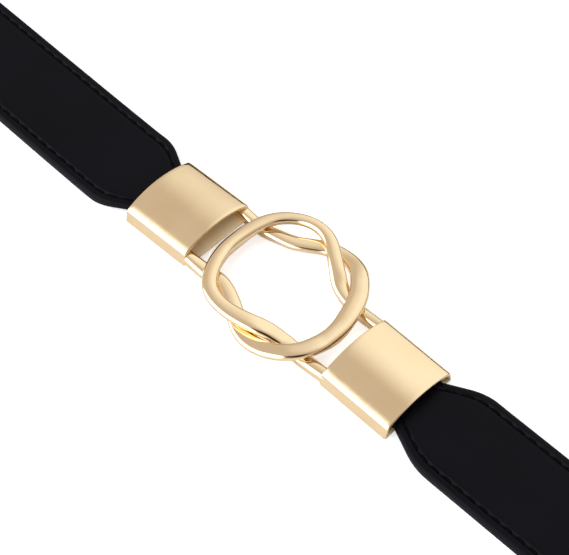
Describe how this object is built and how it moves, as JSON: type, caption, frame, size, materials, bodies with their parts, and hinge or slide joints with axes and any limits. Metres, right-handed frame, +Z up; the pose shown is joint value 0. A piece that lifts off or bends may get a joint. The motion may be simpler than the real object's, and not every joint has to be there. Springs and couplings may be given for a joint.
{
  "type": "elastic stretch belt",
  "caption": "Narrow elastic stretch belt: interlocking loop buckle between arched sleeves, stitched leather front straps and a plain elastic back, closed and lying on a table.",
  "frame": {"origin": "middle of the belt's box in plan, on the table that the belt lies on", "axes": "+X along the flat front of the belt towards its right strap, +Y from the front across the waist opening to the back, +Z up from the table"},
  "size_m": [0.3412, 0.143, 0.0251],
  "materials": {
    "gold": "polished pale gold plating on cast zinc alloy",
    "leather": "fine smooth black, soft sheen",
    "elastic": "matte black knitted elastic"
  },
  "bodies": {
    "root": {"buckle_left": "gold", "buckle_right": "gold", "strap_left": "leather", "strap_right": "leather", "elastic_band": "elastic"}
  },
  "joints": []
}
